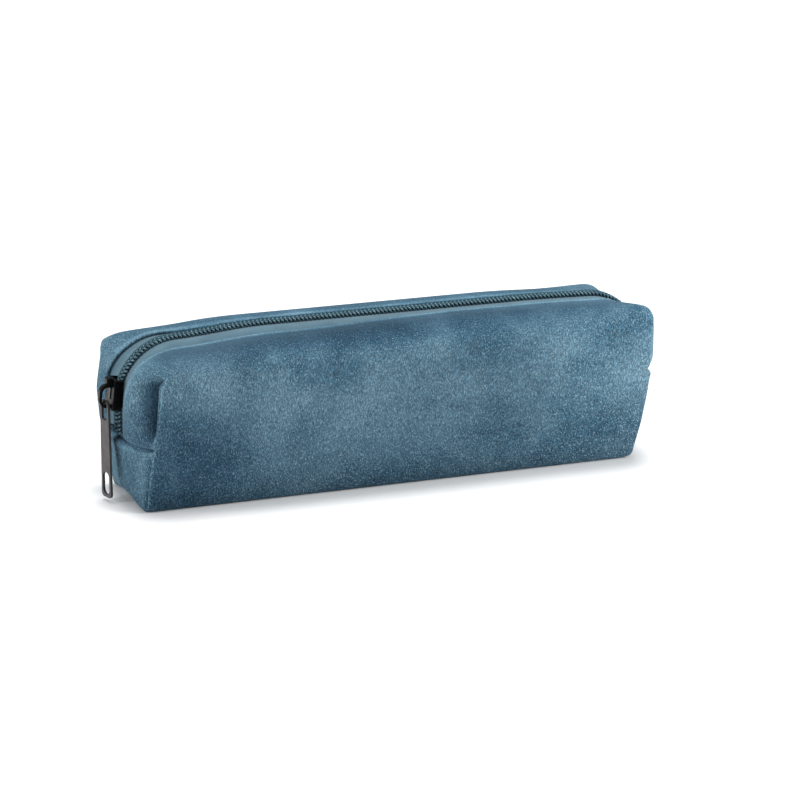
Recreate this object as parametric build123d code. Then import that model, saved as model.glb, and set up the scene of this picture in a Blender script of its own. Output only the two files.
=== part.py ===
"""Soft boxed pencil case with a coil zipper that runs over the top and half way down both ends.

Frame: millimetres, +X along the case, -Y is the front, +Z up. The origin is the middle of the resting face.
The case is two outer panels and two lining panels, cut alike, with a zipper tape caught between them on each
side of the slot. The panels meet in a seam along the middle of the base and up the lower half of each end.
The slider closes the zipper at the left end (-X), where it hangs its puller.
"""

import os
from math import cos, radians, sin, tan

from build123d import *

# --- Overall form, measured on the outside of the outer panels ---
base_length = 198.0        # between the bottom corners of the ends
end_flare = 4.0            # how far each end stands out at the end seam
end_seam_height = 26.0     # the seam across the end, where the zipper stops
end_plan_bow = 4.0         # how much fuller an end is at its middle than at its corners
base_half_width = 21.0
widest_half_width = 27.5
side_bow = 1.6             # how much a side wall swells past a straight line
base_edge_radius = 2.5     # under the front and back
end_fold_radius = 5.0      # under each end
shoulder_radius = 17.0
roof_slope = 12.0          # degrees, from the shoulder up to the flat under the zipper
roof_flat_half = 5.4       # flat as far out as the slider's plates reach

# --- Zipper line over the ends, measured on the outer face of the tape ---
turn_radius = 22.0         # the zipper's turn from an end onto the top
turn_sweep = 79.0          # degrees
turn_centre_height = 38.0
crown_radius = 150.0       # the long shallow curve that follows the turn

# --- Layers, from the outside in ---
panel_thickness = 1.2
tape_thickness = 0.6
lining_thickness = 0.4

# --- Zipper ---
slot_half_width = 8.5      # between the panels' folded edges
lining_slot_half_width = 10.0
tape_half_width = 15.0
chain_gap_half = 0.75      # the slot between the two halves, for the slider's divider
coil_width = 2.5
coil_height = 2.2
coil_edge_radius = 0.7
core_cord_diameter = 0.9
core_cord_clearance = 0.05
coil_thread_width = 0.8
coil_thread_height = 0.25
tape_tail = 4.0            # how far the tape runs on below the end seam
coil_end_clearance = 0.3

# --- Slider ---
slider_lift = 7.0          # degrees up the turn, where the closed slider rests
slider_length = 12.0
slider_tail_half_width = 4.5
slider_nose_half_width = 4.9
nose_corner_radius = 2.9
tail_corner_radius = 1.0
outer_plate = 1.1
inner_plate = 0.9
chain_clearance = 0.15     # over and beside the chain
divider_length = 2.4
divider_setback = 0.8      # from the tip of the nose
divider_side_clearance = 0.25
plate_edge_radius = 0.35

# --- Slider crown, its lock spring and the puller ---
crown_reach = 4.3          # outside the outer plate
crown_width = 2.4
crown_bar = 1.1
crown_nose_margin = 0.6    # from the crown's foot to the tip of the nose
crown_corner_radius = 3.2
lug_height = 2.2
lug_length = 2.4
lug_overhang = 0.7         # wider than the crown, each side
lug_edge_radius = 0.5
spring_width = 1.6
spring_thickness = 0.35
spring_length = 4.4
pawl_length = 1.0
pawl_clearance = 0.15
puller_length = 37.6
puller_width = 6.8
puller_top_width = 5.8
puller_corner_radius = 1.6
puller_thickness = 0.9
puller_twist = 14.0        # degrees about the vertical, as it hangs
eye_bar = 1.3
eye_length = 6.4
eye_half_width = 1.9
eye_corner_radius = 1.2
finger_hole_length = 8.6
finger_hole_width = 4.6
finger_hole_rim = 1.1
eye_to_crown_clearance = 0.6
eye_height = 1.7           # middle of the eye's bar, off the outer plate

# --- Bound seams inside ---
binding_thickness = 1.8
binding_reach = 6.5
end_binding_half_length = 16.0
corner_binding_bottom = 8.0
corner_binding_top = 52.0
base_binding_half_length = 88.0

# --- Derived values ---
end_half = base_length / 2 + end_flare
tape_inset = panel_thickness
lining_inset = tape_inset + tape_thickness
inside_inset = lining_inset + lining_thickness
panel_turn_radius = turn_radius + panel_thickness
turn_centre_x = -end_half + panel_turn_radius
turn_end_angle = 180 - turn_sweep
turn_end = (
    turn_centre_x + panel_turn_radius * cos(radians(turn_end_angle)),
    turn_centre_height + panel_turn_radius * sin(radians(turn_end_angle)),
)
panel_crown_radius = crown_radius + panel_thickness
crown_centre = (
    turn_end[0] - panel_crown_radius * cos(radians(turn_end_angle)),
    turn_end[1] - panel_crown_radius * sin(radians(turn_end_angle)),
)
top_height = crown_centre[1] + panel_crown_radius
tape_line_x = -end_half + tape_inset
# A straight slider on a curved chain stands this far off the chain at its two ends.
curve_gap = turn_radius - (turn_radius**2 - (slider_length / 2) ** 2) ** 0.5
far = 400.0


def side_outline():
    """The case seen from the front: X and Z of the outer face, for both ends."""
    middle_angle = radians((180 + turn_end_angle) / 2)
    turn_middle = (
        turn_centre_x + panel_turn_radius * cos(middle_angle),
        turn_centre_height + panel_turn_radius * sin(middle_angle),
    )
    crown_angle = radians((90 + turn_end_angle) / 2)
    crown_middle = (
        crown_centre[0] + panel_crown_radius * cos(crown_angle),
        crown_centre[1] + panel_crown_radius * sin(crown_angle),
    )
    foot = (-base_length / 2, 0)
    seam = (-end_half, end_seam_height)
    turn_start = (-end_half, turn_centre_height)
    crown_end = (crown_centre[0], top_height)
    left = [
        Line(foot, seam),
        Line(seam, turn_start),
        ThreePointArc(turn_start, turn_middle, turn_end),
        ThreePointArc(turn_end, crown_middle, crown_end),
    ]
    right = [mirror(edge, about=Plane.YZ) for edge in left]
    top = Line(crown_end, (-crown_end[0], crown_end[1]))
    base = Line(foot, (-foot[0], foot[1]))
    return rounded_base(make_face(Curve() + left + right + [top, base]), end_fold_radius)


def rounded_base(outline, radius):
    """An upright outline with both of its corners on the ground rounded."""
    return fillet(outline.vertices().group_by(Axis.Y)[0], radius)


def section_outline():
    """The case seen along its length: Y and Z of the outer face."""
    shoulder_y = -widest_half_width + shoulder_radius
    shoulder_end_angle = radians(90 + roof_slope)
    rise = (shoulder_run() - roof_flat_half) * tan(radians(roof_slope))
    shoulder_z = top_height - rise - shoulder_radius * sin(shoulder_end_angle)
    start = (-widest_half_width, shoulder_z)
    middle_angle = (radians(180) + shoulder_end_angle) / 2
    middle = (
        shoulder_y + shoulder_radius * cos(middle_angle),
        shoulder_z + shoulder_radius * sin(middle_angle),
    )
    end = (
        shoulder_y + shoulder_radius * cos(shoulder_end_angle),
        shoulder_z + shoulder_radius * sin(shoulder_end_angle),
    )
    foot = (-base_half_width, 0)
    wall_middle = ((foot[0] + start[0]) / 2 - side_bow, (foot[1] + start[1]) / 2)
    left = [
        ThreePointArc(foot, wall_middle, start),
        ThreePointArc(start, middle, end),
        Line(end, (-roof_flat_half, top_height)),
    ]
    right = [mirror(edge, about=Plane.YZ) for edge in left]
    top = Line((-roof_flat_half, top_height), (roof_flat_half, top_height))
    base = Line(foot, (base_half_width, 0))
    return rounded_base(make_face(Curve() + left + right + [top, base]), base_edge_radius)


def shoulder_run():
    """From the middle of the case out to where the roof meets the shoulder's curve."""
    return widest_half_width - shoulder_radius + shoulder_radius * sin(radians(roof_slope))


def plan_outline():
    """The case seen from above: X and Y, with bowed ends."""
    corner_x = end_half - end_plan_bow
    corner_y = widest_half_width
    beyond = 1.5 * corner_y
    left = ThreePointArc((-corner_x, -corner_y), (-end_half, 0), (-corner_x, corner_y))
    right = mirror(left, about=Plane.YZ)
    front = Polyline(
        (-corner_x, -corner_y),
        (-corner_x, -beyond),
        (corner_x, -beyond),
        (corner_x, -corner_y),
    )
    back = mirror(front, about=Plane.XZ)
    return make_face(Curve() + [left, right, front, back])


def form(inset):
    """The whole case as one closed solid, moved inwards by inset all over."""
    outlines = [side_outline(), section_outline(), plan_outline()]
    if inset:
        outlines = [offset(outline, amount=-inset, kind=Kind.INTERSECTION) for outline in outlines]
    side, section, plan = outlines
    along_y = extrude(Plane.XZ * side, amount=far / 2, both=True)
    along_x = extrude(Plane.YZ * section, amount=far / 2, both=True)
    along_z = extrude(Plane.XY * plan, amount=far / 2, both=True)
    return along_y & along_x & along_z


def block(low, high):
    """A box between two corners."""
    size = [b - a for a, b in zip(low, high)]
    centre = [(a + b) / 2 for a, b in zip(low, high)]
    return Pos(*centre) * Box(*size)


def front_half():
    return block((-far, -far, -far), (far, 0, far))


def zip_slot(half_width):
    """The space between the folded edges: over the top and down both ends to the end seam."""
    return block((-far, -half_width, end_seam_height), (far, half_width, far))


def shell_half(outer_inset, inner_inset, half_slot):
    """The front half of one layer of the case, with the zipper slot cut out."""
    layer = (form(outer_inset) - form(inner_inset)) & front_half()
    return layer - zip_slot(half_slot)


def zip_tape():
    """The front tape: one layer, from the chain gap out under the panel."""
    layer = form(tape_inset) - form(lining_inset)
    keep = block((-far, -tape_half_width, end_seam_height - tape_tail), (far, -chain_gap_half, far))
    return layer & keep


def chain_path():
    """The line of the tape's outer face at mid width, from the left end seam over to the right one."""
    foot_z = end_seam_height + coil_end_clearance
    top = top_height - tape_inset
    middle_angle = radians((180 + turn_end_angle) / 2)
    crown_angle = radians((90 + turn_end_angle) / 2)

    def at(centre, radius, angle):
        return (centre[0] + radius * cos(angle), 0, centre[1] + radius * sin(angle))

    turn_centre = (turn_centre_x, turn_centre_height)
    end_angle = radians(turn_end_angle)
    turned = at(turn_centre, turn_radius, end_angle)
    crown_end = (crown_centre[0], 0, top)
    left = [
        Line((tape_line_x, 0, foot_z), (tape_line_x, 0, turn_centre_height)),
        ThreePointArc(
            (tape_line_x, 0, turn_centre_height), at(turn_centre, turn_radius, middle_angle), turned
        ),
        ThreePointArc(turned, at(crown_centre, crown_radius, crown_angle), crown_end),
    ]
    right = [mirror(edge, about=Plane.YZ) for edge in left]
    whole = Curve() + left + [Line(crown_end, (-crown_end[0], 0, top))] + right
    return Wire(whole.edges())


def chain_sweep(section):
    """Sweeps a section, drawn across the front half of the chain as Y and height off the tape."""
    start = Plane(
        origin=(tape_line_x, 0, end_seam_height + coil_end_clearance), x_dir=(0, 1, 0), z_dir=(0, 0, 1)
    )
    return sweep(start * section, path=chain_path())


def coil_middle_y():
    return -(chain_gap_half + coil_width / 2)


def coil_section():
    body = Pos(coil_middle_y(), coil_height / 2) * Rectangle(coil_width, coil_height)
    outer_corners = body.vertices().sort_by(Axis.Y)[-2:]
    body = fillet(outer_corners, coil_edge_radius)
    channel = Circle(core_cord_diameter / 2 + core_cord_clearance)
    return body - Pos(coil_middle_y(), coil_height / 2) * channel


def core_cord_section():
    return Pos(coil_middle_y(), coil_height / 2) * Circle(core_cord_diameter / 2)


def coil_thread_section():
    return Pos(coil_middle_y(), coil_height + coil_thread_height / 2) * Rectangle(
        coil_thread_width, coil_thread_height
    )


# The slider is drawn flat: X towards its nose (down the end), Y across, Z off the tape.
lift = radians(slider_lift)
slider_rest = Plane(
    origin=(turn_centre_x - turn_radius * cos(lift), 0, turn_centre_height + turn_radius * sin(lift)),
    x_dir=(-sin(lift), 0, -cos(lift)),
    z_dir=(-cos(lift), 0, sin(lift)),
)
chain_half_width = chain_gap_half + coil_width
plate_bottom = coil_height + coil_thread_height + chain_clearance
plate_top = plate_bottom + outer_plate
inner_plate_top = -(tape_thickness + curve_gap + chain_clearance)
slider_tail = -slider_length / 2
slider_nose = slider_length / 2
crown_tail = slider_tail + lug_length
crown_nose = slider_nose - crown_nose_margin
spring_tail = crown_tail + crown_bar
eye_x = crown_nose - crown_bar - eye_to_crown_clearance - eye_bar / 2
eye_z = plate_top + eye_height
# The puller hangs straight down from where its eye meets the crown.
puller_rest = Plane(
    origin=slider_rest.from_local_coords((eye_x, 0, eye_z)), x_dir=(0, 0, -1), z_dir=(-1, 0, 0)
)


def plate_outline():
    """A slider plate: straight sides that widen a little, and a rounded nose."""
    shoulder = slider_nose - nose_corner_radius - 0.5
    outline = Polyline(
        (slider_nose, 0),
        (slider_nose, slider_nose_half_width),
        (shoulder, slider_nose_half_width),
        (slider_tail, slider_tail_half_width),
        (slider_tail, 0),
    )
    face = make_face(Curve() + [outline, mirror(outline, about=Plane.XZ)])
    nose_corners = [v for v in face.vertices() if v.X > slider_nose - 0.01 and abs(v.Y) > 1]
    face = fillet(nose_corners, nose_corner_radius)
    tail_corners = [v for v in face.vertices() if v.X < slider_tail + 0.01 and abs(v.Y) > 1]
    return fillet(tail_corners, tail_corner_radius)


def slider_body():
    """Both plates, the side flanges over the chain, the divider that joins the plates and the tail lug."""
    outline = plate_outline()
    outer = extrude(Pos(0, 0, chain_clearance) * outline, amount=plate_top - chain_clearance)
    outer = fillet(outer.edges().group_by(Axis.Z)[-1], plate_edge_radius)
    channel = chain_half_width + chain_clearance
    outer -= block((-far, -channel, -far), (far, channel, plate_bottom))
    inner = extrude(Pos(0, 0, inner_plate_top - inner_plate) * outline, amount=inner_plate)
    inner = fillet(inner.edges().group_by(Axis.Z)[0], plate_edge_radius)
    divider_half = chain_gap_half - divider_side_clearance
    divider_front = slider_nose - divider_setback
    divider = block(
        (divider_front - divider_length, -divider_half, inner_plate_top),
        (divider_front, divider_half, plate_bottom),
    )
    lug_half = crown_width / 2 + lug_overhang
    lug = block((slider_tail, -lug_half, plate_bottom), (crown_tail, lug_half, plate_top + lug_height))
    lug = fillet(lug.edges().group_by(Axis.Z)[-1], lug_edge_radius)
    return outer + inner + divider + lug - pawl_space(pawl_clearance)


def pawl_space(clearance):
    """The pawl's own box, or with a clearance the window it goes through."""
    half = spring_width / 2 + clearance
    low = plate_bottom - clearance
    return block(
        (spring_tail - clearance, -half, low),
        (spring_tail + pawl_length + clearance, half, plate_top),
    )


def slider_crown():
    """A bowed strap from the tail lug to the nose; the puller's eye hangs inside it."""
    height = crown_reach
    length = crown_nose - crown_tail
    middle = (crown_nose + crown_tail) / 2
    strap = Pos(middle, height / 2) * Rectangle(length, height)
    strap = fillet(strap.vertices().group_by(Axis.Y)[-1], crown_corner_radius)
    opening = Pos(middle, (height - crown_bar) / 2) * Rectangle(length - 2 * crown_bar, height - crown_bar)
    opening = fillet(opening.vertices().group_by(Axis.Y)[-1], crown_corner_radius - crown_bar)
    upright = Plane(origin=(0, 0, plate_top), x_dir=(1, 0, 0), z_dir=(0, -1, 0))
    return extrude(upright * (strap - opening), amount=crown_width / 2, both=True)


def lock_spring():
    """The leaf under the crown, with the pawl that drops through the outer plate."""
    half = spring_width / 2
    leaf_top = plate_top + spring_thickness
    leaf = block((spring_tail, -half, plate_top), (spring_tail + spring_length, half, leaf_top))
    pawl = block((spring_tail, -half, plate_bottom), (spring_tail + pawl_length, half, plate_top))
    return leaf + pawl


def rounded_slot(start, end, half_width, radius):
    """A hole in the puller from start to end along its length."""
    slot = Pos((start + end) / 2, 0) * Rectangle(end - start, 2 * half_width)
    return fillet(slot.vertices(), radius)


def puller():
    """A flat pull with an eye at the top and a long finger hole below, drawn from the eye's bar down."""
    top = -eye_bar / 2
    bottom = top + puller_length
    outline = make_face(
        Polyline(
            (top, -puller_top_width / 2),
            (bottom, -puller_width / 2),
            (bottom, puller_width / 2),
            (top, puller_top_width / 2),
            close=True,
        )
    )
    outline = fillet(outline.vertices(), puller_corner_radius)
    outline -= rounded_slot(eye_bar / 2, eye_bar / 2 + eye_length, eye_half_width, eye_corner_radius)
    hole_end = bottom - finger_hole_rim
    hole_half = finger_hole_width / 2
    outline -= rounded_slot(hole_end - finger_hole_length, hole_end, hole_half, hole_half * 0.9)
    plate = extrude(outline, amount=puller_thickness / 2, both=True)
    return Rot(-puller_twist, 0, 0) * plate


def inner_end_skin(thickness):
    """A skin of one thickness on the inside of both end faces."""
    plan = offset(plan_outline(), amount=-(inside_inset + thickness), kind=Kind.INTERSECTION)
    return form(inside_inset) - extrude(Plane.XY * plan, amount=far / 2, both=True)


def corner_binding():
    """The bound seam of one box corner, folded flat against the inside of the end: front left."""
    section = offset(section_outline(), amount=-(inside_inset + binding_reach), kind=Kind.INTERSECTION)
    strip = inner_end_skin(binding_thickness) - extrude(Plane.YZ * section, amount=far / 2, both=True)
    return strip & block((-far, -far, corner_binding_bottom), (0, 0, corner_binding_top))


def end_binding():
    """The bound seam across the left end, where the zipper tape is caught."""
    half = binding_reach / 2
    band = block(
        (-far, -end_binding_half_length, end_seam_height - half),
        (0, end_binding_half_length, end_seam_height + half),
    )
    return inner_end_skin(binding_thickness) & band


def base_binding():
    """The bound seam along the middle of the base, folded flat."""
    half = binding_reach / 2
    return block(
        (-base_binding_half_length, -half, inside_inset),
        (base_binding_half_length, half, inside_inset + binding_thickness),
    )


def save(name, shape):
    export_step(shape, "parts/" + name + ".step")


def save_front_and_back(name, shape):
    save("front_" + name, shape)
    save("back_" + name, mirror(shape, about=Plane.XZ))


def main():
    os.makedirs("parts", exist_ok=True)
    save_front_and_back("panel", shell_half(0, tape_inset, slot_half_width))
    save_front_and_back("lining", shell_half(lining_inset, inside_inset, lining_slot_half_width))
    save_front_and_back("zip_tape", zip_tape())
    save_front_and_back("zip_coil", chain_sweep(coil_section()))
    save_front_and_back("coil_cord", chain_sweep(core_cord_section()))
    save_front_and_back("coil_stitching", chain_sweep(coil_thread_section()))
    save("slider_body", slider_rest * slider_body())
    save("slider_crown", slider_rest * slider_crown())
    save("lock_spring", slider_rest * lock_spring())
    save("puller", puller_rest * puller())
    save("base_seam_binding", base_binding())
    save("left_end_binding", end_binding())
    save("right_end_binding", mirror(end_binding(), about=Plane.YZ))
    save_front_and_back("left_corner_binding", corner_binding())
    save_front_and_back("right_corner_binding", mirror(corner_binding(), about=Plane.YZ))


main()
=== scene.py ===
"""A soft boxed pencil case in suede cloth, with a coil zipper over the top and half way down both ends.

The case is first thought of as a straight box, in millimetres: x along it, y out from the seam between its
front and back, z up. case_point() then rounds its edges, pulls its ends into shape and tapers its walls, and
every cloth piece, the tapes and the coils are laid out on that one surface.
"""

from math import cos, pi, radians, sin

import bmesh
import bpy
import numpy as np
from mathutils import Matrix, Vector


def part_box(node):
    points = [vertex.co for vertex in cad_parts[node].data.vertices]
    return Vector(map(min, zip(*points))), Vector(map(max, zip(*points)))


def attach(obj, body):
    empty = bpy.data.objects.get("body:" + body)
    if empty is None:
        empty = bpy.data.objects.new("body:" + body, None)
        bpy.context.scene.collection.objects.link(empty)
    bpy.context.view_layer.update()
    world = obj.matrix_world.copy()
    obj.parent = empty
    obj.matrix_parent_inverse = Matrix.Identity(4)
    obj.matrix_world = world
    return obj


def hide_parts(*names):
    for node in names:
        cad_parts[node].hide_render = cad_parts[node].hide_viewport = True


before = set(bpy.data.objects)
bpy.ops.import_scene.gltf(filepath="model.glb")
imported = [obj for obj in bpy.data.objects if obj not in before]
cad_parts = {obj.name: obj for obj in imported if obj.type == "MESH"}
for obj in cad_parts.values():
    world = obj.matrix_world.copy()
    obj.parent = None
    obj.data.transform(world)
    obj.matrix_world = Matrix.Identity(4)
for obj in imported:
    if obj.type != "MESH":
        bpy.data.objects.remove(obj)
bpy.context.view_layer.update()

MM = 0.001
FRONT, BACK = -1, 1

# --- The straight box, and how its edges round (mm) ---
HALF_LENGTH = 100.0
HALF_DEPTH = 27.0
HEIGHT = 63.5
SEAM_Z = (26.0, 36.5)      # the seam across an end, where the zipper stops: left end, right end
FOLD_Y = 8.5               # the panels' folded edges beside the zipper
ZIP_CROWN = {FRONT: (2.4, 0.6), BACK: (1.2, 1.2)}  # the zipper's rise over the folds: left half, right half
SHOULDER_R = 11.5          # along the top of the front and the back, at the middle of the case
BASE_EDGE_R = 2.0
CORNER_R = 0.7             # the sewn corners, up to CORNER_SEAM_TOP
CORNER_SEAM_TOP = 56.0
ZIP_TURN_R = (23.2, 21.0)  # the turn onto the top along the zipper: left end, right end
END_FOLD_R = 7.0           # under each end, at its middle
BACK_WIDENING = 3.5        # how far the back's fold stands back at the left end
TOP_EDGE_DROP = (2.3, 0.9)         # how far the top sinks toward an end: left, right
BACK_WALL_DROP = (5.5, 2.3)        # the same above the back wall
WALL_SWELL = 1.1           # how far a wall bows out at its middle

# Each corner's own folds, by its side and by whether it is at the right end: the round of its soft top, the
# turn from the wall onto the top, and how deep and how wide its tuck is.
SOFT_CORNER_R = {(FRONT, False): 9.0, (BACK, False): 4.0, (FRONT, True): 7.0, (BACK, True): 5.0}
WALL_TURN_R = {(FRONT, False): 8.0, (BACK, False): 5.0, (FRONT, True): 5.5, (BACK, True): 5.0}
TUCK = {(FRONT, False): (8.0, 4.4), (BACK, False): (1.6, 4), (FRONT, True): (1.6, 4), (BACK, True): (3.0, 4)}

# --- Layers (mm below the outer face, and thick) ---
TAPE_DEPTH = 1.25
LINING_DEPTH = 2.0
BINDING_DEPTH = 2.6
SUEDE_THICK = 0.55
TAPE_THICK = 0.5
LINING_THICK = 0.3
BINDING_THICK = 1.4
SLACK = 0.33               # how far the cloth waves between its seams
LINING_FOLD_Y = 9.8

# --- Zipper (mm) ---
COIL_PITCH = 1.6
COIL_HALF_HEIGHT = 0.42
COIL_WIRE_R = 0.42
COIL_HEAD = 0.1
COIL_HEEL = 2.35
TAPE_EDGE_Y = 13.5
CHAIN_PARTING = 0.7        # how far each half stands off the middle, below the slider
CORD_R = 0.45
THREAD_R = 0.1
STITCH_ROWS = (0.95, 1.65)  # off the middle of the chain


def ease(t):
    """0 below 0, 1 above 1, smooth between."""
    t = np.clip(t, 0.0, 1.0)
    return t * t * (3 - 2 * t)


def bump(d, width):
    """1 where d is 0, falling away over width."""
    return np.exp(-((d / width) ** 2))


def round_corner(p, q, corner_p, corner_q, r):
    """Rounds the corner of a square outline at (corner_p, corner_q), and draws what is inside it along."""
    u = np.clip((p - (corner_p - r)) / r, 0, 1)
    v = np.clip((q - (corner_q - r)) / r, 0, 1)
    inside = (u > 0) & (v > 0)
    new_p = corner_p - r + r * u * np.sqrt(1 - v * v / 2)
    new_q = corner_q - r + r * v * np.sqrt(1 - u * u / 2)
    return np.where(inside, new_p, p), np.where(inside, new_q, q)


def end_reach(y, z, side, right):
    """How far out an end's face stands: fuller at its middle than at its corners."""
    if right:
        middle = np.interp(z, [0, 11, 25, 36, 40, 63], [101.0, 104.2, 107.0, 108.6, 109.0, 109.0])
        if side == FRONT:
            heights = [0, 15, 30, 34, 38, 48, 58, 63]
            corner = np.interp(z, heights, [98.8, 101.5, 103.4, 103.5, 103.1, 103, 103.7, 103.7])
        else:
            corner = np.interp(z, [0, 26, 41, 55, 63], [98.6, 101.0, 101.6, 100.6, 100.6])
    else:
        middle = np.interp(z, [0, 11, 25, 27, 63], [101.6, 102.9, 103.5, 103.0, 103.0])
        if side == FRONT:
            corner = np.interp(z, [0, 10, 26, 32, 54, 63], [98.6, 98.0, 96.6, 96.0, 95.0, 95.0])
        else:
            corner = np.interp(z, [0, 26, 41, 55, 63], [99.4, 102.6, 103.8, 101.4, 100.6])
    boxy = 4.0 if side == FRONT and not right else 2.2
    power = np.where(z < SEAM_Z[right], 1.35, boxy)
    return middle + (corner - middle) * (np.clip(y, 0, HALF_DEPTH) / HALF_DEPTH) ** power


def end_relief(y, z, side, right):
    """The seams and folds of an end's face, outwards: grooves are negative."""
    seam = SEAM_Z[right]
    off_corner = HALF_DEPTH - y
    upper = ease((z - seam) / 4) * ease((CORNER_SEAM_TOP + 4 - z) / 8)
    between_folds = np.sin(pi * np.clip((y - FOLD_Y) / (HALF_DEPTH - FOLD_Y), 0, 1))
    puff = 1.5 * upper * between_folds
    to_corner = ease(off_corner / 1.3)
    at_corner = 0.55 if right else 0.25
    end_seam = -2.6 * bump(z - seam - 0.5, 0.7) * (at_corner + (1 - at_corner) * to_corner)
    end_seam = end_seam + 0.8 * bump(z - seam + 1.7, 1.7) * (0.4 + 0.6 * to_corner)
    tuck_height = ease((z - seam - 1) / 14) * ease((CORNER_SEAM_TOP - 0.2 - z) / 3)
    deep, wide = TUCK[side, right]
    wide = wide * (0.5 + 0.5 * ease((z - seam - 4) / 20))
    tuck = -deep * tuck_height * to_corner * np.where(off_corner < 1.7, 1, bump(off_corner - 1.7, wide))
    lower = ease((seam - z) / 3)
    corner_seam = -1.5 * lower * bump(off_corner - 1.3, 0.75)
    return puff + end_seam + tuck + corner_seam


FOLD_SHADE = {FRONT: 4.2, BACK: 1.2}  # how dark the painted shade is along the fold beside the zipper


def tone(x, y, z, side):
    """Painted shade and highlight at points of the straight box: above 0 is painted shade in creases and seams
    and along the fold, below 0 is painted highlight on edges.
    """
    out = np.abs(x)
    from_fold = y - FOLD_Y + HEIGHT - z
    # painted shade along the fold beside the zipper, fading down the wall
    fold_shade = FOLD_SHADE[side] * (1 - ease((from_fold - 8) / 17)) * (1 - ease((out - 88) / 10))
    # painted highlight along the fold's edge, with some rubbed wear
    fold_highlight = -6.0 * bump(from_fold - 0.8, 1.7) * (z > 40)
    from_corner = np.hypot(HALF_DEPTH - y, HALF_LENGTH - out)
    # painted highlight along the sewn corner, with some rubbed wear
    corner_highlight = -2.6 * bump(from_corner, 1.0) * ease((CORNER_SEAM_TOP + 3 - z) / 3)
    result = fold_shade + fold_highlight + corner_highlight
    if side == FRONT:
        # painted shade toward the left of the front, painted light toward its right
        painted_shade_left = 1.9 * ease((-x - 45) / 45) * (1 - ease((z - 30) / 18))
        painted_light_right = -2.4 * ease((x - 40) / 50)
        result = result + painted_shade_left + painted_light_right
    for right in (False, True):
        # painted highlight along the top edge of each end's lower flap
        flap_highlight = -2.4 * bump(z - SEAM_Z[right] + 1.2, 1.0)
        if not right:
            flap_highlight = flap_highlight - 0.6 - 1.9 * ease((SEAM_Z[0] - z) / 2)  # painted light on the lower flap under the slider
        # painted shade in the ends' creases, tucks and seam grooves, darker where they sink deeper
        relief = np.clip(-1.3 * end_relief(y, z, side, right), 0, 6) + flap_highlight
        result = result + np.where((x > 0) == right, relief * ease((out - 98.6) / 1.4), 0)
    return result


def case_point(x, y, z, side):
    """Takes points of the straight box to the real case, in mm, for its front or its back."""
    x, y, z = (np.asarray(v, float) + np.zeros(np.broadcast(x, y, z).shape) for v in (x, y, z))
    straight_y = y
    if side == BACK:
        wide = BACK_WIDENING * ease((-x - 62) / 28)
        y = y + wide * np.where(y < FOLD_Y, y / FOLD_Y, (HALF_DEPTH - y) / (HALF_DEPTH - FOLD_Y))
    tight = 7.0 * ease((x - 62) / 34) + (5.0 * ease((-x - 70) / 26) if side == BACK else 0)
    y, z = round_corner(y, z, HALF_DEPTH, HEIGHT, SHOULDER_R - tight)
    left_crown, right_crown = ZIP_CROWN[side]
    crown = left_crown + (right_crown - left_crown) * ease((x + 36) / 62)
    z = z - crown * ease((z - 40) / 20) * np.clip(y / FOLD_Y, 0, 1) ** 4
    out = np.abs(x)
    for right in (False, True):
        here = (x > 0) == right
        toward_wall = ease((y - FOLD_Y) / (HALF_DEPTH - FOLD_Y))
        turn = ZIP_TURN_R[right] + (WALL_TURN_R[side, right] - ZIP_TURN_R[right]) * toward_wall
        a, b = round_corner(out, z, HALF_LENGTH, HEIGHT, turn)
        fold = END_FOLD_R * (1 - ease(straight_y / HALF_DEPTH)) + (CORNER_R, 2.5)[right]
        a, b = round_corner(a, HEIGHT - b, HALF_LENGTH, HEIGHT, fold)
        b = HEIGHT - b
        upright = CORNER_R + (SOFT_CORNER_R[side, right] - CORNER_R) * ease((b - CORNER_SEAM_TOP + 1) / 7)
        a, c = round_corner(a, y, HALF_LENGTH, HALF_DEPTH, upright)
        near_end = ease((a - 25) / 45)
        reach = end_reach(c, b, side, right) - HALF_LENGTH
        on_face = ease((a - HALF_LENGTH + 12) / 12)
        a = a + reach * near_end + end_relief(c, b, side, right) * on_face
        fall = TOP_EDGE_DROP[right] * (ease((out - 50) / 42) if right else ease((out - 44) / 36))
        if side == BACK:
            wall_fall = BACK_WALL_DROP[right] * (ease((out - 45) / 52) if right else ease((out - 50) / 70))
            fall = fall + (wall_fall - fall) * ease((straight_y - 6) / 10)
        b = b - fall * ease(b / 38)
        x = np.where(here, np.where(right, a, -a), x)
        y = np.where(here, c, y)
        z = np.where(here, b, z)
    y, flipped = round_corner(y, HEIGHT - z, HALF_DEPTH, HEIGHT, BASE_EDGE_R)
    z = HEIGHT - flipped
    half = np.interp(z, [0, 10, 26, 32, 45, 54, 64], [20.6, 22.2, 24.7, 25.3, 26.6, 27.0, 27.0])
    swell = WALL_SWELL * np.sin(pi * np.clip(z / 62, 0, 1)) * (1 - np.clip(np.abs(x) / 96, 0, 1) ** 2)
    y = y * (half + swell) / HALF_DEPTH
    return np.stack([x, y * side, z], -1)


# --- Laying out cloth on the case ---


def stations(*runs):
    """Sorted places along one direction from (start, stop, about how far apart) runs."""
    places = []
    for start, stop, step in runs:
        count = max(1, round(abs(stop - start) / step))
        places += [start + (stop - start) * n / count for n in range(count + 1)]
    places = sorted(places)
    return np.array([p for n, p in enumerate(places) if n == 0 or p - places[n - 1] > 1e-6])


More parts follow.
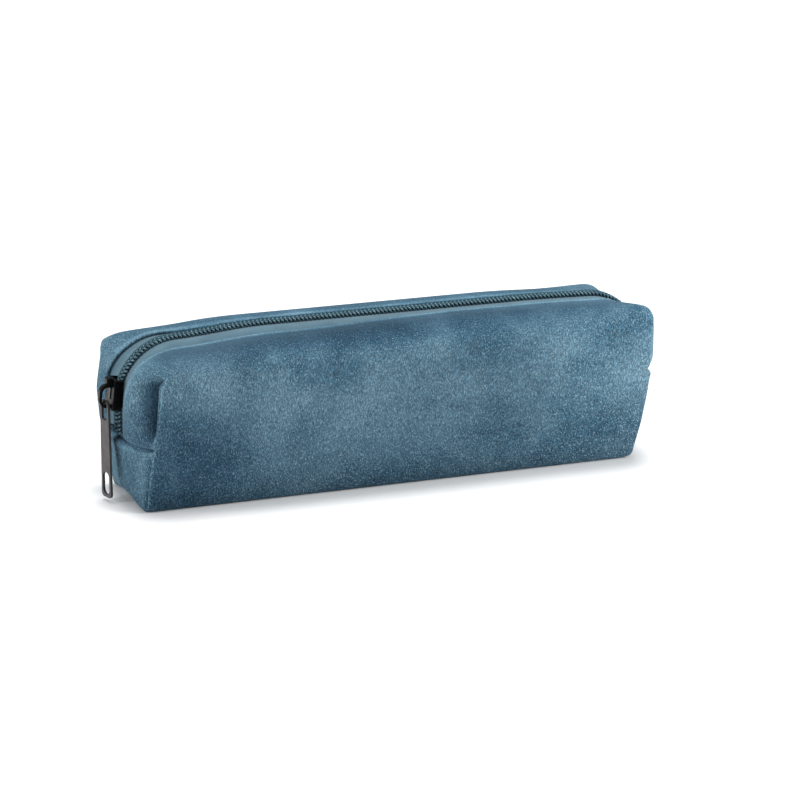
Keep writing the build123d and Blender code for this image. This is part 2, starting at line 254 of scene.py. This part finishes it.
ALONG = stations(
    (-100, -97, 0.5),
    (-97, -86, 0.9),
    (-86, -60, 1.4),
    (-60, 60, 2.4),
    (60, 86, 1.4),
    (86, 97, 0.9),
    (97, 100, 0.5),
)
OUT = stations((0.15, 8.5, 1.0), (8.5, 10.5, 0.5), (10.5, 19.5, 0.9), (19.5, 23.5, 0.6), (23.5, 27, 0.3))
UP = stations(
    (0, 5, 0.8),
    (5, 24, 1.3),
    (24, 28, 0.35),
    (28, 33.5, 1.1),
    (33.5, 37.5, 0.35),
    (37.5, 54, 1.1),
    (54, 63.5, 0.75),
)
FOLD_J = int(np.argmin(abs(OUT - FOLD_Y)))
SEAM_K = [int(np.argmin(abs(UP - seam))) for seam in SEAM_Z]


def box_quads(fold_j):
    """The faces of half the straight box as grid corners, open at the zipper and toward the other half."""
    nx, ny, nz = len(ALONG) - 1, len(OUT) - 1, len(UP) - 1
    quads = []
    for i in range(nx):
        quads += [[(i, j, 0), (i, j + 1, 0), (i + 1, j + 1, 0), (i + 1, j, 0)] for j in range(ny)]
        quads += [[(i, ny, k), (i, ny, k + 1), (i + 1, ny, k + 1), (i + 1, ny, k)] for k in range(nz)]
        quads += [[(i, j, nz), (i + 1, j, nz), (i + 1, j + 1, nz), (i, j + 1, nz)] for j in range(fold_j, ny)]
    for i, seam_k in ((0, SEAM_K[0]), (nx, SEAM_K[1])):
        for k in range(nz):
            first = 0 if k < seam_k else fold_j
            quads += [[(i, j, k), (i, j, k + 1), (i, j + 1, k + 1), (i, j + 1, k)] for j in range(first, ny)]
    return quads


def build_skin(name, side, fold_j=None, depth=0.0, keep=None):
    """One layer of cloth over half the case, depth mm inside the outer face."""
    quads = box_quads(FOLD_J if fold_j is None else fold_j)
    if keep:
        quads = [q for q in quads if all(keep(ALONG[i], OUT[j], UP[k]) for i, j, k in q)]
    corners = sorted({c for q in quads for c in q})
    number = {c: n for n, c in enumerate(corners)}
    grid = np.array([(ALONG[i], OUT[j], UP[k]) for i, j, k in corners])
    inner = grid * [1 - depth / HALF_LENGTH, 1 - depth / HALF_DEPTH, 1 - 2 * depth / HEIGHT] + [0, 0, depth]
    points = case_point(inner[:, 0], inner[:, 1], inner[:, 2], side)
    faces = []
    for q in quads:
        loop = [number[c] for c in q]
        a, b, c = (points[n] for n in loop[:3])
        middle = points[loop].mean(axis=0)
        if np.dot(np.cross(b - a, c - b), middle - np.array([0, 0, 30.0])) < 0:
            loop.reverse()
        faces.append(loop)
    mesh = bpy.data.meshes.new(name)
    mesh.from_pydata([tuple(p * MM) for p in points], [], faces)
    mesh.update()
    obj = bpy.data.objects.new(name, mesh)
    bpy.context.collection.objects.link(obj)
    # painted shade and highlight, kept per vertex for the suede's colour
    lie = mesh.attributes.new("tone", "FLOAT", "POINT")
    lie.data.foreach_set("value", tone(*grid.T, side).astype(np.float32))
    lay = mesh.uv_layers.new(name="cloth")
    straight = grid * MM
    for face in mesh.polygons:
        normal_x = abs(face.normal.x) > 0.8
        for loop_index in face.loop_indices:
            x, y, z = straight[mesh.loops[loop_index].vertex_index]
            if not normal_x:
                lay.data[loop_index].uv = (x, z - y)
            elif z < SEAM_Z[int(x > 0)] * MM:
                lay.data[loop_index].uv = (z + 0.3, y)
            else:
                lay.data[loop_index].uv = (y + 0.5, z)
    return obj


def select_only(obj):
    bpy.ops.object.select_all(action="DESELECT")
    obj.select_set(True)
    bpy.context.view_layer.objects.active = obj


def apply_all(obj):
    select_only(obj)
    for modifier in list(obj.modifiers):
        bpy.ops.object.modifier_apply(modifier=modifier.name)


def relax(obj, inside, rounds=12):
    """Smooths the vertices that inside picks out, as soft cloth would settle there."""
    select_only(obj)
    for v in obj.data.vertices:
        v.select = inside(v.co / MM)
    for f in obj.data.polygons:
        f.select = all(obj.data.vertices[n].select for n in f.vertices)
    bpy.ops.object.mode_set(mode="EDIT")
    bpy.ops.mesh.vertices_smooth(factor=0.5, repeat=rounds)
    bpy.ops.object.mode_set(mode="OBJECT")


def turn_edges_in(obj):
    """Rolls a panel's open edges under: a fold beside the zipper, and a seam turned in at y = 0."""
    mesh = obj.data
    bm = bmesh.new()
    bm.from_mesh(mesh)
    bm.normal_update()
    rim = [e for e in bm.edges if e.is_boundary]
    rim_verts = {v for e in rim for v in e.verts}
    normals = {v: v.normal.copy() for v in rim_verts}
    outward = {}
    for v in rim_verts:
        inner = [e.other_vert(v).co for e in v.link_edges if not e.is_boundary]
        if not inner:
            inner = [f.calc_center_median() for f in v.link_faces]
        away = v.co - sum(inner, Vector()) / len(inner)
        away -= normals[v] * away.dot(normals[v])
        outward[v] = away.normalized() if away.length > 1e-7 else Vector()
    # How far each new row of the rolled edge lies out from the open edge and down from the face.
    fold_rows = [(0.28, 0.3), (0.22, 0.85), (-2.4, 1.15)]
    seam_rows = [(0.05, 0.35), (0.05, 1.0), (-0.6, 1.9)]
    latest = {v: v for v in rim_verts}
    for row in range(3):
        fresh = {}
        for v in rim_verts:
            out, down = seam_rows[row] if abs(v.co.y) < 0.5 * MM else fold_rows[row]
            fresh[v] = bm.verts.new(v.co + outward[v] * out * MM - normals[v] * down * MM)
        for e in rim:
            a, b = e.verts
            quad = bm.faces.new((latest[a], latest[b], fresh[b], fresh[a]))
            quad.normal_update()
            quad.smooth = True
        latest = fresh
    bm.normal_update()
    bmesh.ops.recalc_face_normals(bm, faces=bm.faces)
    bm.to_mesh(mesh)
    bm.free()
    mesh.update()


def face_out(obj):
    """Turns the whole skin over if its faces look inwards."""
    mesh = obj.data
    votes = sum(f.normal.dot(f.center - Vector((0, 0, 0.03))) * f.area for f in mesh.polygons)
    if votes < 0:
        mesh.flip_normals()


def thicken(obj, mm):
    solid = obj.modifiers.new("cloth", "SOLIDIFY")
    solid.thickness = mm * MM
    solid.offset = -1
    apply_all(obj)


def smooth(obj):
    for f in obj.data.polygons:
        f.use_smooth = True


def undulate(obj):
    """The slow hollows and swells of soft cloth that is only held at its seams."""
    mesh = obj.data
    co = np.empty(len(mesh.vertices) * 3)
    mesh.vertices.foreach_get("co", co)
    co = co.reshape(-1, 3) / MM
    nr = np.array([v.normal for v in mesh.vertices])
    x, y, z = co.T
    wave = (
        np.sin(x / 21 + 1.3) * np.sin(z / 17 + 0.4)
        + 0.7 * np.sin(x / 11.5 + z / 23 + y / 13)
        + 0.45 * np.sin(x / 6.3 - z / 9.1 + 2.0) * np.sin(z / 12 + y / 7)
    )
    free = ease((z - 3) / 12) * ease((60 - z) / 12)
    co += nr * (SLACK * wave * free)[:, None]
    mesh.vertices.foreach_set("co", (co * MM).ravel())
    mesh.update()


def make_panel(name, side):
    panel = build_skin(name, side)
    undulate(panel)
    relax(panel, lambda p: p.z > 52 and abs(p.x) > 84 and abs(p.y) > 11.5, rounds=4)
    turn_edges_in(panel)
    face_out(panel)
    thicken(panel, SUEDE_THICK)
    smooth(panel)
    return panel


# --- The zipper's path: up the left end, over the top and down the right end ---


def zip_profile(step, dip=0.0):
    """Points (x, z) of the straight box's outline, step mm apart, from the left end seam to the right one."""
    left_rise, right_rise = (HEIGHT - seam + dip for seam in SEAM_Z)
    length = left_rise + 2 * HALF_LENGTH + right_rise
    travel = np.linspace(0, length, int(round(length / step)) + 1)
    x = np.clip(travel - left_rise, 0, 2 * HALF_LENGTH) - HALF_LENGTH
    z = HEIGHT - left_rise + np.minimum(travel, left_rise)
    return x, z - np.clip(travel - left_rise - 2 * HALF_LENGTH, 0, right_rise)


def even_path(step, dip=0.0):
    """The zipper's centre line: places along it, and the point, direction and outward normal at each."""
    x, z = zip_profile(0.5, dip)
    line = case_point(x, 0.0, z, FRONT)
    line[:, 1] = 0
    gone = np.concatenate([[0], np.cumsum(np.linalg.norm(np.diff(line, axis=0), axis=1))])
    places = np.linspace(0, gone[-1], int(round(gone[-1] / step)) + 1)
    points = np.stack([np.interp(places, gone, line[:, n]) for n in range(3)], -1)
    for _ in range(int(3 / step)):
        points[1:-1] = (points[:-2] + 2 * points[1:-1] + points[2:]) / 4
    direction = np.gradient(points, axis=0)
    direction /= np.linalg.norm(direction, axis=1, keepdims=True)
    normal = np.stack([-direction[:, 2], 0 * direction[:, 1], direction[:, 0]], -1)
    return places, points, direction, normal


PLACES, PATH, HEADING, OUTWARD = even_path(0.25)
LEFT_RISE = slice(0, len(PATH) // 3)
SLIDER_LOW = Vector(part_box("slider_body")[0]) / MM
SLIDER_NOSE = float(PLACES[int(np.argmin(abs(PATH[LEFT_RISE, 2] - SLIDER_LOW.z)))])


def parted(travel):
    """How far each half of the chain stands off the centre line: only below the slider."""
    return CHAIN_PARTING * ease((SLIDER_NOSE + 5 - travel) / 6)


def on_path(travel, across, out):
    """Points, in mm, by their travel along the zipper, their way across it (+Y) and out from the case."""
    base = np.stack([np.interp(travel, PLACES, PATH[:, n]) for n in range(3)], -1)
    normal = np.stack([np.interp(travel, PLACES, OUTWARD[:, n]) for n in range(3)], -1)
    point = base + normal * np.asarray(out)[..., None]
    point[..., 1] += across
    return point


def mesh_piece(name, points, faces):
    mesh = bpy.data.meshes.new(name)
    mesh.from_pydata([tuple(p * MM) for p in points], [], faces)
    mesh.update()
    obj = bpy.data.objects.new(name, mesh)
    bpy.context.collection.objects.link(obj)
    return obj


def tube(name, line, radius, sides, up=None):
    """A closed tube along a line of points in mm."""
    line = np.asarray(line)
    count = len(line)
    heading = np.gradient(line, axis=0)
    heading /= np.linalg.norm(heading, axis=1, keepdims=True)
    if up is None:
        up = np.tile([0.0, 0.0, 1.0], (count, 1))
    side_way = np.cross(heading, up)
    side_way /= np.maximum(np.linalg.norm(side_way, axis=1, keepdims=True), 1e-9)
    top_way = np.cross(side_way, heading)
    angle = 2 * pi * np.arange(sides) / sides
    across = side_way[:, None, :] * np.cos(angle)[None, :, None]
    ring = across + top_way[:, None, :] * np.sin(angle)[None, :, None]
    points = (line[:, None, :] + ring * radius).reshape(-1, 3)
    faces = []
    for n in range(count - 1):
        for s in range(sides):
            t = (s + 1) % sides
            faces.append([n * sides + s, n * sides + t, (n + 1) * sides + t, (n + 1) * sides + s])
    faces.append(list(range(sides)))
    faces.append([(count - 1) * sides + s for s in reversed(range(sides))])
    return mesh_piece(name, points, faces)


def recalc(obj):
    bm = bmesh.new()
    bm.from_mesh(obj.data)
    bmesh.ops.recalc_face_normals(bm, faces=bm.faces)
    bm.to_mesh(obj.data)
    bm.free()


def make_tape(name, side):
    """The woven tape on one side of the chain, from the chain out under the panel."""
    x, z = zip_profile(1.2, dip=4.0)
    across = stations((0.0, 3.5, 0.6), (3.5, TAPE_EDGE_Y, 1.1))
    _, centre, _, normal = even_path(0.5, dip=4.0)
    points = []
    for xx, zz in zip(x, z):
        row = case_point(xx, across, zz, side)
        near = int(np.argmin(np.sum((centre[:, [0, 2]] - row[0, [0, 2]]) ** 2, axis=1)))
        gap = 0
        if xx < 0 and zz < HEIGHT:
            gap = parted(float(np.interp(zz, PATH[LEFT_RISE, 2], PLACES[LEFT_RISE])))
        row = row - normal[near] * TAPE_DEPTH
        row[:, 1] += side * (0.12 + gap * (1 - ease(across / 6)))
        points.append(row)
    points = np.array(points)
    rows, columns = points.shape[:2]
    faces = [
        [r * columns + c, r * columns + c + 1, (r + 1) * columns + c + 1, (r + 1) * columns + c]
        for r in range(rows - 1)
        for c in range(columns - 1)
    ]
    obj = mesh_piece(name, points.reshape(-1, 3), faces)
    lay = obj.data.uv_layers.new(name="cloth")
    travel = np.concatenate([[0], np.cumsum(np.linalg.norm(np.diff(points[:, 4], axis=0), axis=1))])
    for face in obj.data.polygons:
        for loop_index in face.loop_indices:
            r, c = divmod(obj.data.loops[loop_index].vertex_index, columns)
            lay.data[loop_index].uv = (travel[r] * MM, across[c] * MM)
    face_out(obj)
    thicken(obj, TAPE_THICK)
    smooth(obj)
    return obj


def make_coil(name, side):
    """One half of the chain: a filament wound into flat loops that hook between the other half's."""
    length = PLACES[-1] - 0.8
    turns = int(length / COIL_PITCH)
    steps = 10
    turn = (np.arange(turns * steps + 1)) / steps
    phase = 2 * pi * turn
    travel = 0.4 + COIL_PITCH * (turn + (0.5 if side == BACK else 0.0))
    travel = np.minimum(travel, PLACES[-1])
    middle, half = (COIL_HEEL + COIL_HEAD) / 2, (COIL_HEEL - COIL_HEAD) / 2
    c, s = np.cos(phase), np.sin(phase)
    reach = middle - half * np.sign(c) * np.abs(c) ** 0.75
    lift = COIL_HALF_HEIGHT * np.sign(s) * np.abs(s) ** 0.7
    height = -TAPE_DEPTH + COIL_HALF_HEIGHT + COIL_WIRE_R + 0.02 + lift
    line = on_path(travel, side * (reach + parted(travel)), height)
    outward = np.stack([np.interp(travel, PLACES, OUTWARD[:, n]) for n in range(3)], -1)
    obj = tube(name, line, COIL_WIRE_R, sides=5, up=outward)
    recalc(obj)
    smooth(obj)
    return obj


def make_coil_cord(name, side):
    """The filler cord that runs through the loops."""
    travel = np.arange(0.5, PLACES[-1] - 0.5, 1.5)
    height = np.full_like(travel, -TAPE_DEPTH + COIL_HALF_HEIGHT + COIL_WIRE_R)
    line = on_path(travel, side * (1.25 + parted(travel)), height)
    obj = tube(name, line, CORD_R, sides=7)
    recalc(obj)
    smooth(obj)
    return obj


def make_coil_stitching(name, side):
    """Two rows of thread over each half of the chain, dipping between its loops."""
    rows = []
    for row, reach in enumerate(STITCH_ROWS):
        travel = np.arange(0.5, PLACES[-1] - 0.5, COIL_PITCH / 6)
        dip = 0.1 * np.cos(2 * pi * travel / COIL_PITCH + row * pi)
        height = -TAPE_DEPTH + 2 * COIL_HALF_HEIGHT + 2 * COIL_WIRE_R - 0.06 + dip
        line = on_path(travel, side * (reach + parted(travel)), height)
        rows.append(tube(name + str(row), line, THREAD_R, sides=4))
    select_only(rows[0])
    rows[1].select_set(True)
    bpy.ops.object.join()
    rows[0].name = name
    recalc(rows[0])
    smooth(rows[0])
    return rows[0]


def make_lining(name, side):
    fold = int(np.argmin(abs(OUT - LINING_FOLD_Y)))
    lining = build_skin(name, side, fold_j=fold, depth=LINING_DEPTH)
    face_out(lining)
    thicken(lining, LINING_THICK)
    smooth(lining)
    return lining


def make_binding(name, sides, keep):
    """A strip of binding tape folded flat against the lining over a seam."""
    halves = [
        build_skin(name + str(n), side, fold_j=1, depth=BINDING_DEPTH, keep=keep)
        for n, side in enumerate(sides)
    ]
    select_only(halves[0])
    for half in halves[1:]:
        half.select_set(True)
    if len(halves) > 1:
        bpy.ops.object.join()
    strip = halves[0]
    strip.name = name
    bm = bmesh.new()
    bm.from_mesh(strip.data)
    bmesh.ops.remove_doubles(bm, verts=bm.verts, dist=0.4 * MM)
    bm.to_mesh(strip.data)
    bm.free()
    face_out(strip)
    thicken(strip, BINDING_THICK)
    smooth(strip)
    return strip


# --- Finishes ---

HAZE_SHIFT = (0.111, 0.39, 0.87)  # where on the cloth the worn patches fall

# Painted shade by height, from the base to the top: darker toward the base and a little darker at the very
# top, palest high on the walls.
HEIGHT_SHADE = [
    (0.0, (0.46, 0.50, 0.54)),
    (0.14, (0.62, 0.66, 0.69)),
    (0.50, (0.73, 0.75, 0.77)),
    (0.78, (0.92, 0.92, 0.92)),
    (1.0, (0.84, 0.90, 0.93)),
]


# Painted shade and highlight as a multiplier: the cloth's painted shade from -2 (painted highlight on edges)
# to 5 (painted shade in creases).
PAINTED_SHADE_RAMP = [(0.0, (1.45, 1.4, 1.36)), (0.286, (1, 1, 1)), (0.5, (0.66, 0.72, 0.77)), (1.0, (0.26, 0.33, 0.4))]


def new_material(name):
    material = bpy.data.materials.new(name)
    material.use_nodes = True
    tree = material.node_tree
    tree.nodes.clear()
    out = tree.nodes.new("ShaderNodeOutputMaterial")
    shader = tree.nodes.new("ShaderNodeBsdfPrincipled")
    tree.links.new(shader.outputs["BSDF"], out.inputs["Surface"])
    return material, tree, shader


def noise(tree, coords, scale, detail=4.0, rough=0.55, stretch=(1, 1, 1), shift=(0, 0, 0)):
    mapping = tree.nodes.new("ShaderNodeMapping")
    mapping.inputs["Location"].default_value = shift
    mapping.inputs["Scale"].default_value = stretch
    tree.links.new(coords, mapping.inputs["Vector"])
    node = tree.nodes.new("ShaderNodeTexNoise")
    node.inputs["Scale"].default_value = scale
    node.inputs["Detail"].default_value = detail
    node.inputs["Roughness"].default_value = rough
    tree.links.new(mapping.outputs["Vector"], node.inputs["Vector"])
    return node.outputs["Fac"]


def ramp(tree, value, stops):
    node = tree.nodes.new("ShaderNodeValToRGB")
    element = node.color_ramp.elements
    while len(element) < len(stops):
        element.new(0.5)
    for e, (place, colour) in zip(element, stops):
        e.position = place
        e.color = (*colour, 1)
    tree.links.new(value, node.inputs["Fac"])
    return node.outputs["Color"]


def mix(tree, factor, a, b, blend="MIX"):
    node = tree.nodes.new("ShaderNodeMix")
    node.data_type = "RGBA"
    node.blend_type = blend
    for socket, value in ((node.inputs["Factor"], factor), (node.inputs["A"], a), (node.inputs["B"], b)):
        if hasattr(value, "is_output"):
            tree.links.new(value, socket)
        elif isinstance(value, (int, float)):
            socket.default_value = value
        else:
            socket.default_value = (*value, 1)
    return node.outputs["Result"]


def math(tree, operation, a, b):
    node = tree.nodes.new("ShaderNodeMath")
    node.operation = operation
    for socket, value in zip(node.inputs, (a, b)):
        if hasattr(value, "is_output"):
            tree.links.new(value, socket)
        else:
            socket.default_value = value
    return node.outputs["Value"]


def bumped(tree, shader, height, strength, distance):
    node = tree.nodes.new("ShaderNodeBump")
    node.inputs["Strength"].default_value = strength
    node.inputs["Distance"].default_value = distance
    tree.links.new(height, node.inputs["Height"])
    tree.links.new(node.outputs["Normal"], shader.inputs["Normal"])


def linear(r, g, b):
    """A colour given as it looks on a screen, 0 to 255."""
    shares = (r / 255, g / 255, b / 255)
    return tuple(c / 12.92 if c <= 0.04045 else ((c + 0.055) / 1.055) ** 2.4 for c in shares)


def suede():
    """Brushed suede cloth: hazy worn patches, a short nap along the cloth and a fleck of paler fibres; painted
    shade by height and painted shade and highlight from the mesh are multiplied in.
    """
    material, tree, shader = new_material("suede")
    place = tree.nodes.new("ShaderNodeTexCoord").outputs["Object"]
    clouds = noise(tree, place, 38, detail=7, rough=0.65, shift=HAZE_SHIFT)
    blues = [(0.36, linear(44, 77, 97)), (0.5, linear(61, 94, 114)), (0.66, linear(88, 119, 136))]
    colour = ramp(tree, clouds, blues)
    haze = noise(tree, place, 17, detail=5, rough=0.6, stretch=(1.0, 1, 1.4), shift=HAZE_SHIFT)
    worn = ramp(tree, haze, [(0.46, (0, 0, 0)), (0.66, (0.7, 0.7, 0.7))])
    colour = mix(tree, worn, colour, linear(98, 128, 145))
    height = tree.nodes.new("ShaderNodeSeparateXYZ")
    tree.links.new(place, height.inputs["Vector"])
    # painted shade by height, darker toward the base
    level = math(tree, "MULTIPLY", height.outputs["Z"], 1 / (HEIGHT * MM))
    height_shade = ramp(tree, level, HEIGHT_SHADE)
    colour = mix(tree, 1.0, colour, height_shade, "MULTIPLY")
    # painted shade and highlight from the mesh, as a multiplier on the colour
    fold = tree.nodes.new("ShaderNodeAttribute")
    fold.attribute_name = "tone"
    depth = math(tree, "MULTIPLY", math(tree, "ADD", fold.outputs["Fac"], 2.0), 1 / 7)
    shade = ramp(tree, depth, PAINTED_SHADE_RAMP)
    nap = noise(tree, place, 1500, detail=2, rough=0.55, stretch=(1.9, 1.9, 0.62))
    fibres = [(0.34, (0.22, 0.23, 0.24)), (0.5, (0.44, 0.44, 0.44)), (0.66, (0.92, 0.91, 0.89))]
    grain = ramp(tree, nap, fibres)
    colour = mix(tree, 0.85, colour, grain, "OVERLAY")
    fleck = noise(tree, place, 1700, detail=2, rough=0.6, stretch=(1.3, 1.3, 0.9))
    pale = ramp(tree, fleck, [(0.55, (0, 0, 0)), (0.68, (0.5, 0.5, 0.5))])
    colour = mix(tree, pale, colour, linear(150, 182, 196))
    colour = mix(tree, 1.0, colour, shade, "MULTIPLY")
    tree.links.new(colour, shader.inputs["Base Color"])
    shader.inputs["Roughness"].default_value = 0.95
    shader.inputs["Specular IOR Level"].default_value = 0.15
    shader.inputs["Sheen Weight"].default_value = 0.2
    shader.inputs["Sheen Roughness"].default_value = 0.5
    shader.inputs["Sheen Tint"].default_value = (*linear(150, 195, 215), 1)
    tufts = math(tree, "MULTIPLY", noise(tree, place, 300, 4), 0.7)
    rough_nap = math(tree, "ADD", math(tree, "MULTIPLY", nap, 0.8), tufts)
    bumped(tree, shader, rough_nap, 0.5, 0.0004)
    return material


def plain_cloth(name, colour, scale=1400):
    """One colour of cloth or thread with a fine grain."""
    material, tree, shader = new_material(name)
    place = tree.nodes.new("ShaderNodeTexCoord").outputs["Object"]
    grain = noise(tree, place, scale, 3)
    dark = tuple(c * 0.6 for c in colour)
    light = tuple(min(1, c * 1.5) for c in colour)
    tree.links.new(ramp(tree, grain, [(0.35, dark), (0.65, light)]), shader.inputs["Base Color"])
    shader.inputs["Roughness"].default_value = 0.9
    bumped(tree, shader, grain, 0.4, 0.0002)
    return material


def tape_weave():
    """Fine herringbone-like tape, woven a little smoother and paler than the suede."""
    material, tree, shader = new_material("zip_tape")
    uv = tree.nodes.new("ShaderNodeUVMap")
    uv.uv_map = "cloth"
    cloth = uv.outputs["UV"]
    place = tree.nodes.new("ShaderNodeTexCoord").outputs["Object"]
    waves = []
    for turn in (radians(35), radians(-35)):
        mapping = tree.nodes.new("ShaderNodeMapping")
        mapping.inputs["Rotation"].default_value = (0, 0, turn)
        tree.links.new(cloth, mapping.inputs["Vector"])
        wave = tree.nodes.new("ShaderNodeTexWave")
        wave.inputs["Scale"].default_value = 520
        wave.inputs["Distortion"].default_value = 0.4
        tree.links.new(mapping.outputs["Vector"], wave.inputs["Vector"])
        waves.append(wave.outputs["Fac"])
    weave = math(tree, "MULTIPLY", waves[0], waves[1])
    dye = noise(tree, place, 120, 4)
    colour = ramp(tree, dye, [(0.3, linear(58, 92, 109)), (0.7, linear(80, 115, 131))])
    threads = ramp(tree, weave, [(0.0, linear(44, 76, 92)), (0.8, linear(100, 136, 150))])
    colour = mix(tree, 0.35, colour, threads)
    tree.links.new(colour, shader.inputs["Base Color"])
    shader.inputs["Roughness"].default_value = 0.82
    shader.inputs["Sheen Weight"].default_value = 0.15
    bumped(tree, shader, weave, 0.5, 0.00015)
    return material


def nylon():
    """Smooth nylon filament, a little uneven in its dye."""
    material, tree, shader = new_material("coil_plastic")
    place = tree.nodes.new("ShaderNodeTexCoord").outputs["Object"]
    dye = noise(tree, place, 300, 3)
    colour = ramp(tree, dye, [(0.3, linear(50, 84, 98)), (0.7, linear(86, 126, 140))])
    tree.links.new(colour, shader.inputs["Base Color"])
    shader.inputs["Roughness"].default_value = 0.38
    shader.inputs["Coat Weight"].default_value = 0.1
    bumped(tree, shader, dye, 0.1, 0.0001)
    return material


def metal(name, colour, roughness, metallic, scratch=0.25):
    """Painted or plated metal with fine drawn scratches and slight wear."""
    material, tree, shader = new_material(name)
    place = tree.nodes.new("ShaderNodeTexCoord").outputs["Object"]
    grain = noise(tree, place, 700, 5, 0.6, stretch=(1, 1, 0.15))
    wear = noise(tree, place, 260, 3)
    dark = tuple(c * 0.8 for c in colour)
    light = tuple(min(1, c * 1.25) for c in colour)
    tree.links.new(ramp(tree, wear, [(0.3, dark), (0.7, light)]), shader.inputs["Base Color"])
    rough = tree.nodes.new("ShaderNodeMapRange")
    rough.inputs["To Min"].default_value = roughness * (1 - scratch)
    rough.inputs["To Max"].default_value = roughness * (1 + scratch)
    tree.links.new(grain, rough.inputs["Value"])
    tree.links.new(rough.outputs["Result"], shader.inputs["Roughness"])
    shader.inputs["Metallic"].default_value = metallic
    bumped(tree, shader, grain, 0.08, 0.00005)
    return material


def finish(obj, material):
    """Gives a piece of the case its material, and lets it stand for the node it is named after."""
    obj.data.materials.clear()
    obj.data.materials.append(material)
    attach(obj, "case")
    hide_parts(obj.name.replace("_soft", ""))


# --- The case ---

SUEDE = suede()
LINING = plain_cloth("lining_cloth", linear(38, 44, 50))
BINDING = plain_cloth("binding", linear(28, 32, 38))
TAPE = tape_weave()
NYLON = nylon()
THREAD = plain_cloth("coil_thread", linear(52, 88, 102), 2500)
CORD = plain_cloth("coil_cord", linear(22, 40, 50), 2500)
BLACK = metal("black_metal", linear(9, 9, 10), 0.3, 0.0, 0.3)
BLACK.node_tree.nodes["Principled BSDF"].inputs["Specular IOR Level"].default_value = 0.05
SPRING = metal("spring_steel", linear(17, 17, 18), 0.4, 0.3)
GUNMETAL = metal("gunmetal", linear(82, 78, 79), 0.45, 0.7)

for side, word in ((FRONT, "front"), (BACK, "back")):
    finish(make_panel(word + "_panel_soft", side), SUEDE)
    finish(make_lining(word + "_lining_soft", side), LINING)
    finish(make_tape(word + "_zip_tape_soft", side), TAPE)
    finish(make_coil(word + "_zip_coil_soft", side), NYLON)
    finish(make_coil_cord(word + "_coil_cord_soft", side), CORD)
    finish(make_coil_stitching(word + "_coil_stitching_soft", side), THREAD)
    for end, sign in (("left", -1), ("right", 1)):
        strip = make_binding(
            f"{word}_{end}_corner_binding_soft",
            [side],
            lambda x, y, z, sign=sign: x == 100 * sign and 19 < y < 26 and 8 < z < 52,
        )
        finish(strip, BINDING)
for end, sign in (("left", -1), ("right", 1)):
    strip = make_binding(
        f"{end}_end_binding_soft",
        [FRONT, BACK],
        lambda x, y, z, sign=sign: x == 100 * sign and y < 17 and -0.01 < SEAM_Z[sign > 0] - z < 6.5,
    )
    finish(strip, BINDING)
strip = make_binding(
    "base_seam_binding_soft",
    [FRONT, BACK],
    lambda x, y, z: z == 0 and y < 4 and abs(x) < 90,
)
finish(strip, BINDING)

METALS = {"slider_body": BLACK, "slider_crown": BLACK, "lock_spring": SPRING, "puller": GUNMETAL}
for node, material in METALS.items():
    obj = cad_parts[node]
    for n in range(len(obj.material_slots)):
        obj.material_slots[n].material = material


# --- Floor, light and camera ---


def floor():
    """A plain pale sheet, just under the case."""
    bpy.ops.object.select_all(action="DESELECT")
    bpy.ops.mesh.primitive_plane_add(size=6, location=(0, 0, -0.0002))
    plane = bpy.context.object
    plane.name = "floor"
    material, tree, shader = new_material("paper")
    shader.inputs["Base Color"].default_value = (0.92, 0.92, 0.92, 1)
    shader.inputs["Roughness"].default_value = 1.0
    shader.inputs["Specular IOR Level"].default_value = 0.0
    plane.data.materials.append(material)


def area_light(name, place, size, power):
    data = bpy.data.lights.new(name, "AREA")
    data.size = size
    data.energy = power
    lamp = bpy.data.objects.new(name, data)
    bpy.context.collection.objects.link(lamp)
    lamp.location = place
    case_middle = Vector((0, 0, 0.03))
    lamp.rotation_euler = (case_middle - Vector(place)).to_track_quat("-Z", "Y").to_euler()


def sun_light(name, place, strength, spread):
    data = bpy.data.lights.new(name, "SUN")
    data.energy = strength
    data.angle = radians(spread)
    lamp = bpy.data.objects.new(name, data)
    bpy.context.collection.objects.link(lamp)
    lamp.rotation_euler = (-Vector(place)).to_track_quat("-Z", "Y").to_euler()


def camera(azimuth, elevation, distance, aim, lens):
    """Looks at aim from azimuth degrees round from the front, elevation degrees up and distance metres off."""
    azimuth, elevation, aim = radians(azimuth), radians(elevation), Vector(aim)
    view = Vector((-sin(azimuth) * cos(elevation), cos(azimuth) * cos(elevation), -sin(elevation)))
    data = bpy.data.cameras.new("camera")
    data.sensor_width = 36
    data.lens = lens
    obj = bpy.data.objects.new("camera", data)
    bpy.context.collection.objects.link(obj)
    obj.location = aim - view * distance
    obj.rotation_euler = view.to_track_quat("-Z", "Y").to_euler()
    bpy.context.scene.camera = obj


floor()
world = bpy.data.worlds.new("studio")
world.use_nodes = True
world.node_tree.nodes["Background"].inputs["Color"].default_value = (1, 1, 1, 1)
world.node_tree.nodes["Background"].inputs["Strength"].default_value = 0.38
bpy.context.scene.world = world
sun_light("overhead", (0.1, 0.26, 1.5), 2.6, 26)
area_light("key", (0.55, -0.45, 0.38), 0.35, 3.6)
area_light("left", (-1.1, 0.0, 0.5), 0.5, 5)
bpy.context.scene.view_settings.view_transform = "Standard"
camera(azimuth=-21.2, elevation=15.8, distance=1.140, aim=(0.0095, 0, 0.0269), lens=133.6)
